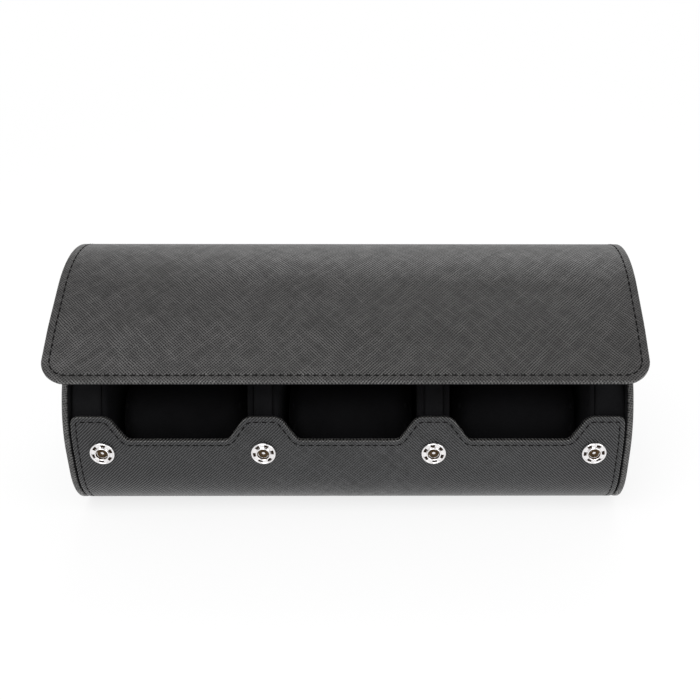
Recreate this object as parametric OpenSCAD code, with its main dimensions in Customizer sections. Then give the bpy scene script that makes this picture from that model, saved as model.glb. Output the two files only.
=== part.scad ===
// Travel case for three watches: a domed leather-covered case with a flap that folds from the back.
// X runs along the case, -Y is the front, +Z is up. The origin is under the middle of the case.

/* [Wells] */
// Clear width of one watch well
well_w = 51.6; // [44:0.2:60]
// Thickness of a well liner's cheek
liner_t = 2.2; // [1.4:0.1:3]
// Thickness of the padding between two wells
divider_t = 7.2; // [6:0.2:14]
// Thickness of the padding at each end
end_pad_t = 11.3; // [6:0.1:16]
// Thickness of the foam pad on the floor
floor_pad_t = 3.6; // [2:0.1:6]

/* [Case profile] */
// Radius of the domed upper part
dome_r = 41; // [36:0.5:50]
// Height of the dome's centre, and of the fold at the back
dome_z = 31; // [26:0.5:38]
// Radius of the lower front and back corners
corner_r = 22; // [14:0.5:25]

/* [Walls] */
// Thickness of the leather on the walls
leather_t = 0.9; // [0.6:0.05:1.4]
// Thickness of the board in the walls
board_t = 1.4; // [1:0.1:2.2]
// Thickness of the lining on the walls
lining_t = 0.6; // [0.3:0.05:1]

/* [Ends] */
// Thickness of the leather on the end discs
end_leather_t = 0.7; // [0.4:0.05:1.2]
// Thickness of the board in the end discs
end_board_t = 1.4; // [1:0.1:2.4]
// Thickness of the lining on the end discs
end_lining_t = 0.4; // [0.2:0.05:0.8]
// Gap between an end disc and the edge of the leather wrap
edge_gap = 0.4; // [0.2:0.05:1]

/* [Front wall] */
// Height of the front wall at its tabs
front_top = 45.5; // [40:0.5:50]
// Depth of the notch in front of each well
notch_depth = 9; // [4:0.25:10]
// Run of a notch's slanted side
notch_run = 6.5; // [4:0.25:10]
// Width of a tab between two notches
tab_w = 13; // [12:0.1:18]
// Radius of the notches' corners
notch_r = 2.2; // [1:0.1:2.6]

/* [Flap] */
// How far the flap reaches past each end disc
flap_over = 1; // [0.5:0.1:3]
// Gap between the end discs and the closed flap
flap_gap = 0.8; // [0.5:0.05:1.5]
// Thickness of the flap's leather
flap_leather_t = 0.9; // [0.6:0.05:1.4]
// Thickness of the flap's board
flap_board_t = 1.1; // [0.8:0.05:1.8]
// Thickness of the flap's lining
flap_lining_t = 0.6; // [0.4:0.05:1]
// Width of the leather turned around the flap's edge
flap_rim = 1; // [0.7:0.05:2]
// Inset of the lining from the flap's edge
lining_inset = 1.6; // [1.2:0.1:4]
// Radius of the flap's lower corners
flap_corner_r = 9; // [4:0.25:12]
// Angle above level at which the flap's dome runs out into its straight front
flap_straight_deg = 42; // [36:1:52]
// Distance from the snaps to the flap's lower edge
snap_margin = 8.5; // [7:0.25:14]
// Angle that the flap stands open at the back fold
flap_open_deg = 22.5; // [5:0.5:30]
// Angle that the flap's front strip springs out from its closed shape
front_relax_deg = 36; // [10:1:40]

/* [Snaps] */
// Height of the snaps
snap_z = 31.5; // [31:0.25:35]
// Distance from the wrap's edge to an outer snap
snap_end = 10.8; // [8:0.1:20]
// Gap between the front wall and the closed flap at the snaps
snap_gap = 2.4; // [2.3:0.05:3]
// Radius of a snap socket
socket_r = 4.6; // [4:0.1:5.5]
// Radius of a snap stud's head
stud_r = 1.95; // [1.6:0.05:2.2]
// Radius of a snap's rivet
rivet_r = 1.4; // [1:0.05:1.5]

/* [Cushions] */
// Depth of a cushion, from front to back
cushion_d = 62; // [50:1:68]
// Height of a cushion
cushion_h = 40; // [30:1:42]
// Gap at each side of a cushion
cushion_gap = 1; // [0.5:0.1:2]
// Gap under a cushion
cushion_seat = 0.3; // [0.3:0.05:0.6]

/* [Hidden] */
$fn = 96;

// Clearance between glued layers, so that no two of them share any space
fit = 0.05;
// Clearance at each side of a fold
fold_gap = 0.15;
// The flap's straight run lies this far under its tangent, so that it meets the dome in a clean line
tangent_sink = 0.02;
// A cut reaches this far past what it cuts
over = 1;
reach = 2 * dome_r + dome_z;

pitch = well_w + 2 * liner_t + divider_t;
end_t = end_leather_t + end_board_t + end_lining_t;
wall_t = leather_t + board_t + lining_t;
inner_w = 3 * well_w + 6 * liner_t + 2 * divider_t + 2 * end_pad_t;
body_w = inner_w + 2 * end_t;
wrap_w = inner_w - 2 * edge_gap;
flap_w = body_w + 2 * flap_over;
flap_t = flap_leather_t + flap_board_t + flap_lining_t;
flap_r = dome_r + flap_gap;

// The front strip of the closed flap lies square to the snaps, snap_gap off the wall
snap_deg = asin(max(0, snap_z - dome_z) / dome_r);
front_r = dome_r + snap_gap;
knee_turn = flap_straight_deg - snap_deg;
straight_len = (front_r - flap_r * cos(knee_turn)) / sin(knee_turn);
knee_to_snap = (flap_r - front_r * cos(knee_turn)) / sin(knee_turn);
front_len = knee_to_snap + snap_margin;
knee = round_about(flap_straight_deg, flap_r, straight_len);
hinge = [flap_r + flap_t, dome_z];

// Snap pieces, measured outwards from the front wall's face
socket_base_t = 0.35;
socket_rim_w = 0.7;
socket_rim_h = 1.1;
collar_w = 0.7;
collar_h = 1.8;
bore_gap = 0.25;
stud_base_t = 0.45;
stud_base_r = socket_r - 0.3;
stud_tip = 0.95;
bore_r = stud_r + bore_gap;
spring_w = 0.3;
spring_z = 1.1;
rivet_gap = 0.1;
rivet_head_t = 0.35;
rivet_head_w = 0.4;
rivet_cap_r = 3.6;
rivet_cap_t = 0.5;
rivet_bore_r = 0.7;

snap_x = wrap_w / 2 - snap_end;
snap_places = [-snap_x, -pitch / 2, pitch / 2, snap_x];
floor_top = wall_t + floor_pad_t + fit;
liner_floor_t = 1.4;
strap_edge_t = 0.9;
strap_ramp = 3;
ridges = 24;
sides = 40;
pillow_power = 3.4;
outline_power = 2.6;

// Point at angle a above level on the front, r from the dome's centre, s along the tangent
function round_about(a, r, s) =
    [-r * cos(a) - s * sin(a), dome_z + r * sin(a) - s * cos(a)];

// Arc that rounds the corner b between a and c
function rounded(a, b, c, r, steps = 6) =
    let (
        u = (a - b) / norm(a - b),
        v = (c - b) / norm(c - b),
        half = acos(u * v) / 2,
        centre = b + (u + v) / norm(u + v) * r / sin(half),
        from = b + u * r / tan(half) - centre,
        to = b + v * r / tan(half) - centre,
        turn = 180 - 2 * half,
        way = sign(from[0] * to[1] - from[1] * to[0])
    )
    [for (i = [0:steps]) let (t = way * turn * i / steps)
        centre + [from[0] * cos(t) - from[1] * sin(t), from[0] * sin(t) + from[1] * cos(t)]];

function rounded_path(p, r) =
    [for (i = [0:len(p) - 1])
        let (a = p[(i + len(p) - 1) % len(p)], b = p[i], c = p[(i + 1) % len(p)])
        each rounded(a, b, c, r)];

// Outline of the front wall, seen from the front, with a notch before each well
function front_outline(w) =
    let (
        top_w = pitch - tab_w,
        low_w = top_w - 2 * notch_run,
        low = front_top - notch_depth
    )
    rounded_path(concat(
        [[-w / 2, -notch_r], [-w / 2, front_top]],
        [for (i = [-1:1]) each [
            [i * pitch - top_w / 2, front_top], [i * pitch - low_w / 2, low],
            [i * pitch + low_w / 2, low], [i * pitch + top_w / 2, front_top]]],
        [[w / 2, front_top], [w / 2, -notch_r]]), notch_r);

// End view of the case, drawn in by inset
module profile(inset) {
    intersection() {
        translate([0, dome_z]) circle(dome_r - inset);
        translate([-reach, dome_z]) square([2 * reach, reach]);
    }
    translate([-(dome_r - inset), corner_r]) square([2 * (dome_r - inset), dome_z - corner_r]);
    for (side = [-1, 1])
        translate([side * (dome_r - corner_r), corner_r]) circle(corner_r - inset);
    translate([-(dome_r - corner_r), inset]) square([2 * (dome_r - corner_r), corner_r - inset]);
}

// Stands an end view up and draws it out along the case
module along_x(w) {
    rotate([90, 0, 90]) linear_extrude(w, center = true) children();
}

module turned_about(place, deg) {
    translate([0, place[0], place[1]]) rotate([deg, 0, 0])
        translate([0, -place[0], -place[1]]) children();
}

// Puts a snap's piece on the front wall, with its axis outwards
module on_wall(x) {
    translate([x, -dome_r * cos(snap_deg), dome_z + dome_r * sin(snap_deg)])
        rotate([90 - snap_deg, 0, 0]) children();
}

module at_rest() {
    turned_about(hinge, -flap_open_deg) children();
}

// The flap's front strip, in its own frame: origin on the knee, Y up the strip, Z outwards
module front_strip() {
    at_rest() turned_about(knee, -front_relax_deg)
        translate([0, knee[0], knee[1]]) rotate([90 - snap_deg, 0, 0]) children();
}

// One layer of the lower shell
module shell_layer(outer, inner, w) {
    intersection() {
        along_x(w) difference() {
            profile(outer);
            profile(inner);
        }
        union() {
            rotate([90, 0, 0]) linear_extrude(reach) polygon(front_outline(w));
            translate([-w / 2, 0, -over]) cube([w, reach, dome_z + over]);
        }
    }
}

module outer_wrap() {
    color("#3c3a3c") difference() {
        shell_layer(0, leather_t, wrap_w);
        for (x = snap_places)
            on_wall(x) translate([0, 0, -wall_t]) cylinder(h = wall_t + over, r = rivet_r + rivet_gap);
    }
}

module shell_board() {
    color("#6e655b") difference() {
        shell_layer(leather_t + fit, leather_t + board_t, inner_w);
        for (x = snap_places) on_wall(x) {
            translate([0, 0, -wall_t]) cylinder(h = wall_t + over, r = rivet_r + rivet_gap);
            translate([0, 0, -wall_t])
                cylinder(h = wall_t - leather_t - board_t + rivet_cap_t + fit, r = rivet_cap_r + rivet_gap);
        }
    }
}

module shell_lining() {
    color("#1d1c1f") shell_layer(leather_t + board_t + fit, wall_t, inner_w);
}

// Root of the flap, sewn to the back wall under the fold
module hinge_strap() {
    back = dome_r + fit;
    color("#3c3a3c") along_x(flap_w) polygon([
        [back, corner_r], [back + strap_edge_t, corner_r], [hinge[0], dome_z - strap_ramp],
        [hinge[0], dome_z - fold_gap], [back, dome_z - fold_gap]]);
}

// Places an end's pieces: side is -1 at the left, and 1 at the right
module at_end(side, from, t) {
    translate([side * (body_w / 2 - from - t / 2), 0, 0]) children();
}

module end_cover(side) {
    color("#403e40") difference() {
        at_end(side, 0, end_t) along_x(end_t) profile(0);
        at_end(side, end_leather_t, end_t) along_x(end_t) profile(end_leather_t);
    }
}

module end_board(side) {
    color("#6e655b") at_end(side, end_leather_t + fit, end_board_t - fit)
        along_x(end_board_t - fit) profile(end_leather_t + fit);
}

module end_lining(side) {
    color("#1d1c1f") at_end(side, end_leather_t + end_board_t + fit, end_lining_t - 2 * fit)
        along_x(end_lining_t - 2 * fit) profile(end_leather_t + fit);
}

// What stands in the shell: the inner outline, above the floor pad
module padding(w, low) {
    intersection() {
        along_x(w) profile(wall_t + fit);
        translate([-w, -reach, low]) cube([2 * w, 2 * reach, reach]);
    }
}

module end_pad(side) {
    w = end_pad_t - 2 * fit;
    color("#232225") at_end(side, end_t + fit, w) padding(w, floor_top);
}

module divider_pad(side) {
    color("#232225") translate([side * pitch / 2, 0, 0]) padding(divider_t - 2 * fit, floor_top);
}

module floor_pad() {
    w = inner_w - 2 * fit;
    color("#232225") intersection() {
        along_x(w) profile(wall_t + fit);
        translate([-w, -reach, 0]) cube([2 * w, 2 * reach, floor_top - fit]);
    }
}

// Two cheeks and a floor around one well
module well_liner(place) {
    w = well_w + 2 * liner_t;
    color("#29282b") translate([place * pitch, 0, 0]) difference() {
        padding(w, floor_top);
        translate([-well_w / 2, -reach, floor_top + liner_floor_t]) cube([well_w, 2 * reach, reach]);
    }
}

// A stuffed pillow: its faces are crowned, and its sides draw in towards the ends
function power(v, p) = sign(v) * pow(abs(v), p);

function pillow_ring(t, w, d, h) =
    let (
        x = w / 2 * power(sin(t), 2 / pillow_power),
        s = pow(cos(t), 2 / pillow_power)
    )
    [for (j = [0:sides - 1]) let (a = 360 * j / sides)
        [x, d / 2 * s * power(cos(a), 2 / outline_power), h / 2 * s * power(sin(a), 2 / outline_power)]];

module pillow(w, d, h) {
    step = 180 / (ridges + 1);
    rings = [for (i = [1:ridges]) each pillow_ring(-90 + step * i, w, d, h)];
    ends = [[-w / 2, 0, 0], [w / 2, 0, 0]];
    n = ridges * sides;
    polyhedron(
        points = concat(rings, ends),
        faces = concat(
            [for (i = [0:ridges - 2], j = [0:sides - 1])
                let (a = i * sides + j, b = i * sides + (j + 1) % sides)
                each [[a, b, a + sides], [b, b + sides, a + sides]]],
            [for (j = [0:sides - 1]) each [
                [n, (j + 1) % sides, j],
                [n + 1, n - sides + j, n - sides + (j + 1) % sides]]]));
}

module cushion(place) {
    w = well_w - 2 * cushion_gap;
    low = floor_top + liner_floor_t + cushion_seat;
    color("#2e2c30") translate([place * pitch, 0, low + cushion_h / 2]) pillow(w, cushion_d, cushion_h);
}

module snap_sockets() {
    color("#d8d8dc") for (x = snap_places) on_wall(x) difference() {
        union() {
            cylinder(h = socket_rim_h, r = socket_r);
            cylinder(h = collar_h, r = bore_r + collar_w);
        }
        translate([0, 0, socket_base_t]) difference() {
            cylinder(h = collar_h, r = socket_r - socket_rim_w);
            cylinder(h = collar_h, r = bore_r + collar_w);
        }
        translate([0, 0, socket_base_t]) cylinder(h = collar_h, r = bore_r);
        translate([0, 0, -over]) cylinder(h = 2 * over, r = rivet_r + rivet_gap);
        translate([0, 0, spring_z - spring_w / 2 - fit])
            cylinder(h = spring_w + 2 * fit, r = bore_r + spring_w + fit);
    }
}

module socket_springs() {
    color("#c9a24a") for (x = snap_places) on_wall(x)
        translate([0, 0, spring_z - spring_w / 2]) difference() {
            cylinder(h = spring_w, r = bore_r + spring_w);
            translate([0, 0, -over]) cylinder(h = 2 * over, r = bore_r);
        }
}

module socket_rivets() {
    low = -(leather_t + board_t);
    top = socket_base_t + fit + rivet_head_t;
    color("#c9a24a") for (x = snap_places) on_wall(x) difference() {
        union() {
            translate([0, 0, low]) cylinder(h = rivet_cap_t, r = rivet_cap_r);
            translate([0, 0, low]) cylinder(h = top - low, r = rivet_r);
            translate([0, 0, top - rivet_head_t]) cylinder(h = rivet_head_t, r = rivet_r + rivet_head_w);
        }
        translate([0, 0, low + rivet_cap_t]) cylinder(h = top - low, r = rivet_bore_r);
    }
}

// Filled end view of a dome whose front runs out straight
module dome_section(r) {
    translate([0, dome_z]) circle(r);
    polygon([[0, dome_z], round_about(flap_straight_deg, r - tangent_sink, 0),
        round_about(flap_straight_deg, r - tangent_sink, 2 * straight_len)]);
}

// One layer of the flap's domed part, closed, between two heights off its inner face
module flap_layer(from, to, w) {
    far = straight_len - fold_gap;
    along_x(w) intersection() {
        difference() {
            dome_section(flap_r + to);
            dome_section(flap_r + from);
        }
        polygon([
            [0, dome_z + fold_gap], [reach, dome_z + fold_gap], [reach, 2 * reach], [-reach, 2 * reach],
            round_about(flap_straight_deg, reach, far), round_about(flap_straight_deg, 0, far)]);
    }
}

module flap_top_leather() {
    color("#565457") at_rest() difference() {
        flap_layer(0, flap_t, flap_w);
        flap_layer(-over, flap_lining_t + flap_board_t, flap_w - 2 * flap_rim);
    }
}

module flap_top_board() {
    color("#6e655b") at_rest()
        flap_layer(flap_lining_t + fit, flap_lining_t + flap_board_t - fit, flap_w - 2 * (flap_rim + fit));
}

module flap_top_lining() {
    color("#1d1c1f") at_rest() flap_layer(0, flap_lining_t, flap_w - 2 * lining_inset);
}

// Outline of the front strip, with its lower corners round
module strip_outline(inset) {
    w = flap_w - 2 * inset;
    l = front_len - inset;
    r = flap_corner_r - inset;
    translate([-w / 2, -l + r]) square([w, l - r - fold_gap]);
    translate([-w / 2 + r, -l]) square([w - 2 * r, l - fold_gap]);
    for (side = [-1, 1]) translate([side * (w / 2 - r), -l + r]) circle(r);
}

module strip_layer(from, to, inset) {
    translate([0, 0, from]) linear_extrude(to - from) strip_outline(inset);
}

module stud_holes(r) {
    for (x = snap_places) translate([x, -knee_to_snap, -over]) cylinder(h = flap_t + over - fold_gap, r = r);
}

module flap_front_leather() {
    color("#565457") front_strip() difference() {
        strip_layer(0, flap_t, 0);
        strip_layer(-over, flap_lining_t + flap_board_t, flap_rim);
    }
}

module flap_front_board() {
    color("#6e655b") front_strip() difference() {
        strip_layer(flap_lining_t + fit, flap_lining_t + flap_board_t - fit, flap_rim + fit);
        stud_holes(rivet_r + rivet_gap);
        for (x = snap_places)
            translate([x, -knee_to_snap, flap_lining_t + flap_board_t - rivet_cap_t - fit])
                cylinder(h = over, r = rivet_cap_r + rivet_gap);
    }
}

module flap_front_lining() {
    color("#1d1c1f") front_strip() difference() {
        strip_layer(0, flap_lining_t, lining_inset);
        stud_holes(rivet_r + rivet_gap);
    }
}

module snap_studs() {
    head = snap_gap - stud_tip;
    color("#d8d8dc") front_strip() for (x = snap_places) translate([x, -knee_to_snap, 0]) difference() {
        union() {
            translate([0, 0, -stud_base_t]) cylinder(h = stud_base_t, r = stud_base_r);
            translate([0, 0, -head]) cylinder(h = head, r = stud_r);
        }
        translate([0, 0, -head + stud_base_t]) cylinder(h = head, r = rivet_r + fit);
    }
}

module stud_rivets() {
    top = flap_lining_t + flap_board_t - fit;
    low = -(snap_gap - stud_tip) + stud_base_t + fit;
    color("#c9a24a") front_strip() for (x = snap_places) translate([x, -knee_to_snap, 0]) {
        translate([0, 0, low]) cylinder(h = top - low, r = rivet_r);
        translate([0, 0, top - rivet_cap_t]) cylinder(h = rivet_cap_t, r = rivet_cap_r);
    }
}

outer_wrap();
shell_board();
shell_lining();
hinge_strap();
end_cover(-1);  // end_cover_left
end_cover(1);  // end_cover_right
end_board(-1);  // end_board_left
end_board(1);  // end_board_right
end_lining(-1);  // end_lining_left
end_lining(1);  // end_lining_right
end_pad(-1);  // end_pad_left
end_pad(1);  // end_pad_right
divider_pad(-1);  // divider_pad_left
divider_pad(1);  // divider_pad_right
floor_pad();
well_liner(-1);  // well_liner_left
well_liner(0);  // well_liner_middle
well_liner(1);  // well_liner_right
cushion(-1);  // cushion_left
cushion(0);  // cushion_middle
cushion(1);  // cushion_right
snap_sockets();
socket_springs();
socket_rivets();
flap_top_leather();
flap_top_board();
flap_top_lining();
flap_front_leather();
flap_front_board();
flap_front_lining();
snap_studs();
stud_rivets();
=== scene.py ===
import bmesh
import bpy
import math
import random
from mathutils import Matrix, Vector


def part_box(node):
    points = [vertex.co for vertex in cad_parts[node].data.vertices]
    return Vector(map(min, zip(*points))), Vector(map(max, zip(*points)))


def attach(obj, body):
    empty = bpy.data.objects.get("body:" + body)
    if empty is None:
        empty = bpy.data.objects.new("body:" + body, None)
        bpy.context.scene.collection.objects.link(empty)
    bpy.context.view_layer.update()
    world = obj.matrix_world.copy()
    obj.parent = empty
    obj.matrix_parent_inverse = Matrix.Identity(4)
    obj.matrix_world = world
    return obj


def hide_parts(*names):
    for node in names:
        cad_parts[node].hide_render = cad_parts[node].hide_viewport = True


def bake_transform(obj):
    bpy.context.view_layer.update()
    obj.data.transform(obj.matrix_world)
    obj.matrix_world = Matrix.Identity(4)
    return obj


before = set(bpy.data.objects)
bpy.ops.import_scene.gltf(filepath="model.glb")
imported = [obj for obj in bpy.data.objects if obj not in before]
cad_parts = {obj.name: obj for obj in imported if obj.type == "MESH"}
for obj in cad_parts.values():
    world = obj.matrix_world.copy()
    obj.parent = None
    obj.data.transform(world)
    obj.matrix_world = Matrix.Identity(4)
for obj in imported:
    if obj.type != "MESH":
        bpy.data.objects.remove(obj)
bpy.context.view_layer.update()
mm = 0.001
samePlace = 0.01 * mm
squareOn = 0.99  # a face whose normal has this share along a way faces that way

# the case's own form, in millimetres, as the solids have it
caseForm = {
    "domeRadius": 41, "domeHeight": 31, "cornerRadius": 22,
    "wrapWidth": 204.2, "bodyWidth": 210, "wallThick": 2.9,
    "wellPitch": 63.2, "wellWidth": 51.6, "cheekThick": 2.2, "dividerThick": 7.2,
    "endPadThick": 11.3, "endThick": 2.5, "padBottom": 6.6, "floorTop": 8.0,
    "frontTop": 45.5, "notchTop": 50.2, "notchRun": 6.5, "notchDepth": 9,
    "snapHeight": 31.5, "snapX": (-91.3, -31.6, 31.6, 91.3),
    "flapWidth": 212, "flapThick": 2.6, "flapRadius": 41.8, "straightAngle": 42,
    "snapGap": 2.4, "snapMargin": 8.5, "openAngle": 22.5, "relaxAngle": 36,
}
domeRadius = caseForm["domeRadius"]
domeHeight = caseForm["domeHeight"]
ends = ((-1, "left"), (1, "right"))
wells = ((-1, "left"), (0, "middle"), (1, "right"))


# everyday tools for selecting and shaping

def leaveEdit():
    if bpy.context.object and bpy.context.object.mode != "OBJECT":
        bpy.ops.object.mode_set(mode="OBJECT")


def deselectAll():
    leaveEdit()
    bpy.ops.object.select_all(action="DESELECT")


def only(piece):
    deselectAll()
    piece.select_set(True)
    bpy.context.view_layer.objects.active = piece


def editAll(piece):
    only(piece)
    bpy.ops.object.mode_set(mode="EDIT")
    bpy.ops.mesh.select_all(action="SELECT")


def fresh(name):
    piece = bpy.context.object
    piece.name = name
    piece.data.name = name
    bpy.ops.object.transform_apply(location=True, rotation=True, scale=True)
    return piece


def block(name, size, centre):
    deselectAll()
    bpy.ops.mesh.primitive_cube_add(size=1, location=centre, scale=size)
    return fresh(name)


def middle(part):
    return sum((v.co for v in part.verts), Vector()) / len(part.verts)


def runs(edge, axis, length):
    return abs(edge.verts[0].co[axis] - edge.verts[1].co[axis]) > length * 0.9


def liesAt(edge, axis, place):
    return all(abs(v.co[axis] - place) < samePlace for v in edge.verts)


def pick(piece, kind, test):
    only(piece)
    bpy.ops.object.mode_set(mode="EDIT")
    bpy.ops.mesh.select_mode(type=kind)
    bpy.ops.mesh.select_all(action="DESELECT")
    shape = bmesh.from_edit_mesh(piece.data)
    for part in {"VERT": shape.verts, "EDGE": shape.edges, "FACE": shape.faces}[kind]:
        if test(part):
            part.select_set(True)
    bmesh.update_edit_mesh(piece.data)


def roundEdges(piece, test, radius, segments):
    pick(piece, "EDGE", test)
    bpy.ops.mesh.bevel(
        offset=radius, segments=segments, profile=0.5, affect="EDGES", clamp_overlap=False)
    bpy.ops.mesh.select_all(action="SELECT")
    bpy.ops.mesh.remove_doubles(threshold=samePlace)
    leaveEdit()


def roundRims(piece, axis, places, radius, segments):
    for place in places:
        roundEdges(piece, lambda e: liesAt(e, axis, place), radius, segments)


def sliced(piece, places):
    editAll(piece)
    for place in places:
        bpy.ops.mesh.select_all(action="SELECT")
        bpy.ops.mesh.bisect(plane_co=(place, 0, 0), plane_no=(1, 0, 0))
    leaveEdit()


# cuts off the side that way points to
def cutAway(piece, height, way):
    editAll(piece)
    bpy.ops.mesh.bisect(plane_co=(0, 0, height), plane_no=(0, 0, way), clear_outer=True, use_fill=True)
    leaveEdit()


def applied(piece, kind, **values):
    only(piece)
    change = piece.modifiers.new(kind.lower(), kind)
    for key, value in values.items():
        setattr(change, key, value)
    bpy.ops.object.modifier_apply(modifier=change.name)
    return piece


def smooth(piece, angle=None):
    only(piece)
    if angle is None:
        bpy.ops.object.shade_smooth()
        applied(piece, "WEIGHTED_NORMAL", weight=60)
    else:
        bpy.ops.object.shade_smooth_by_angle(angle=math.radians(angle))


def joined(pieces, name):
    only(pieces[0])
    for piece in pieces:
        piece.select_set(True)
    bpy.ops.object.join()
    pieces[0].name = name
    pieces[0].data.name = name
    return pieces[0]


def copied(piece, name):
    twin = piece.copy()
    twin.data = piece.data.copy()
    twin.name = name
    twin.data.name = name
    bpy.context.scene.collection.objects.link(twin)
    return twin


def dressed(piece, finish, replaced=(), body=None):
    piece.data.materials.clear()
    piece.data.materials.append(finish)
    if replaced:
        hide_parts(*replaced)
    if body:
        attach(piece, body)


# Flat patterns that are wrapped along a profile: X runs along the profile, Y across the case,
# and Z is the height over the profile.

def lineCurve(name, points, closed=False):
    data = bpy.data.curves.new(name, "CURVE")
    data.dimensions = "2D"
    spline = data.splines.new("POLY")
    spline.points.add(len(points) - 1)
    for point, place in zip(spline.points, points):
        point.co = (place[0], place[1], 0, 1)
    spline.use_cyclic_u = closed
    data.use_radius = False
    data.use_stretch = False
    data.use_deform_bounds = False
    curve = bpy.data.objects.new(name, data)
    bpy.context.scene.collection.objects.link(curve)
    return curve


def dropped(curve):
    data = curve.data
    bpy.data.objects.remove(curve)
    bpy.data.curves.remove(data)


def pathLength(points):
    return sum((Vector(b) - Vector(a)).length for a, b in zip(points, points[1:]))


# stands the pattern up, bends it along the profile and turns it into the case's frame
def wrapped(piece, curve):
    piece.data.transform(Matrix.Rotation(-math.pi / 2, 4, "X"))
    applied(piece, "CURVE", object=curve, deform_axis="POS_X")
    piece.data.transform(Matrix(((0, 0, 1, 0), (1, 0, 0, 0), (0, 1, 0, 0), (0, 0, 0, 1))))
    piece.data.update()


skinLook = {
    "stretch": 0.35,  # how far the grain is drawn out where the leather turns over an edge
    "channelFrom": 0.08, "channelTo": 0.5, "channelFlat": 0.8,
    "turnDrop": 0.3, "turnSlope": 0.3, "flatSlope": 0.05,
}


# the leather's own map in millimetres, with marks for its turned edges and its seam channel; the leather
# finish paints a highlight on the turned edges and shade in the channel
def mapSkin(piece, top):
    mesh = piece.data
    for layer in list(mesh.uv_layers):
        mesh.uv_layers.remove(layer)
    layer = mesh.uv_layers.new(name="skin")
    mesh.attributes.new("fold", "FLOAT", "POINT")
    mesh.attributes.new("seam", "FLOAT", "POINT")
    folds, seams = (mesh.attributes[mark].data for mark in ("fold", "seam"))
    spots = []
    for vertex, fold, sunk in zip(mesh.vertices, folds, seams):
        drop = (top - vertex.co.z) / mm
        inChannel = skinLook["channelFrom"] < drop < skinLook["channelTo"]
        sunk.value = 1 if inChannel and vertex.normal.z > skinLook["channelFlat"] else 0
        out = vertex.normal.to_2d()
        turned = drop > skinLook["turnDrop"] or out.length > skinLook["turnSlope"]
        spot = vertex.co.to_2d() / mm
        if turned and out.length > skinLook["flatSlope"]:
            spot += out.normalized() * drop * skinLook["stretch"]
            fold.value = 1
        spots.append(spot)
    layer.data.foreach_set("uv", [c for loop in mesh.loops for c in spots[loop.vertex_index]])


# presses the seam's channel into the top face and returns the seam's line
def grooved(piece, look, top):
    width = look["channel"] * mm
    depth = look["press"] * mm
    pick(piece, "FACE", lambda f: f.normal.z > squareOn and abs(middle(f).z - top) < 2 * samePlace)
    bpy.ops.mesh.inset(thickness=(look["margin"] - look["edge"]) * mm - width, depth=0)
    bpy.ops.mesh.inset(thickness=width, depth=-depth)
    shape = bmesh.from_edit_mesh(piece.data)
    face = max((f for f in shape.faces if f.select), key=lambda f: f.calc_area())
    line = [(v.co.x, v.co.y) for v in face.verts]
    bpy.ops.mesh.inset(thickness=width, depth=depth)
    leaveEdit()
    return line


def steps(low, high, size):
    count = max(1, round((high - low) / size))
    return [low + (high - low) * i / count for i in range(1, count)]


# finishes

# gives a node's inputs their values, or links them where a value comes from another node
def feed(tree, node, inputs):
    for label, value in inputs.items():
        if isinstance(value, tuple):
            node.inputs[label].default_value = (*value, 1)
        elif isinstance(value, (int, float)):
            node.inputs[label].default_value = value
        elif value is not None:
            tree.links.new(value, node.inputs[label])
    return node


def newNode(tree, kind, inputs, **settings):
    node = tree.nodes.new("ShaderNode" + kind)
    for key, value in settings.items():
        setattr(node, key, value)
    return feed(tree, node, inputs)


def mathNode(tree, operation, a, b=None, c=None, clamp=False):
    return newNode(tree, "Math", {0: a, 1: b, 2: c}, operation=operation, use_clamp=clamp).outputs[0]


def times(tree, a, b, clamp=False):
    return mathNode(tree, "MULTIPLY", a, b, clamp=clamp)


def scaled(tree, a, factor, plus, clamp=False):
    return mathNode(tree, "MULTIPLY_ADD", a, factor, plus, clamp)


def noiseNode(tree, vector, scale, detail=2.0, roughness=0.5):
    inputs = {"Vector": vector, "Scale": scale, "Detail": detail, "Roughness": roughness}
    return newNode(tree, "TexNoise", inputs).outputs["Fac"]


def mixColour(tree, factor, a, b):
    return newNode(tree, "Mix", {0: factor, 6: a, 7: b}, data_type="RGBA").outputs[2]


def bump(tree, height, strength, distance):
    inputs = {"Height": height, "Strength": strength, "Distance": distance}
    return newNode(tree, "Bump", inputs).outputs["Normal"]


def nodeGroup(name, inputs, outputs):
    group = bpy.data.node_groups.new(name, "ShaderNodeTree")
    group.interface.new_socket("Vector", in_out="INPUT", socket_type="NodeSocketVector")
    for label, value in inputs.items():
        socket = group.interface.new_socket(label, in_out="INPUT", socket_type="NodeSocketFloat")
        socket.default_value = value
    for label in outputs:
        group.interface.new_socket(label, in_out="OUTPUT", socket_type="NodeSocketFloat")
    return group, group.nodes.new("NodeGroupInput").outputs, group.nodes.new("NodeGroupOutput")


grainLook = {
    "bendScale": 0.35, "bend": 0.96, "patchScale": 0.03, "patches": 1.1,
    "streakAlong": 0.42, "streakAcross": 0.09, "streaks": 0.8, "streakLevel": 0.43, "apart": 3.7,
    "poreScale": 3.2, "pores": 0.25,
}


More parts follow.
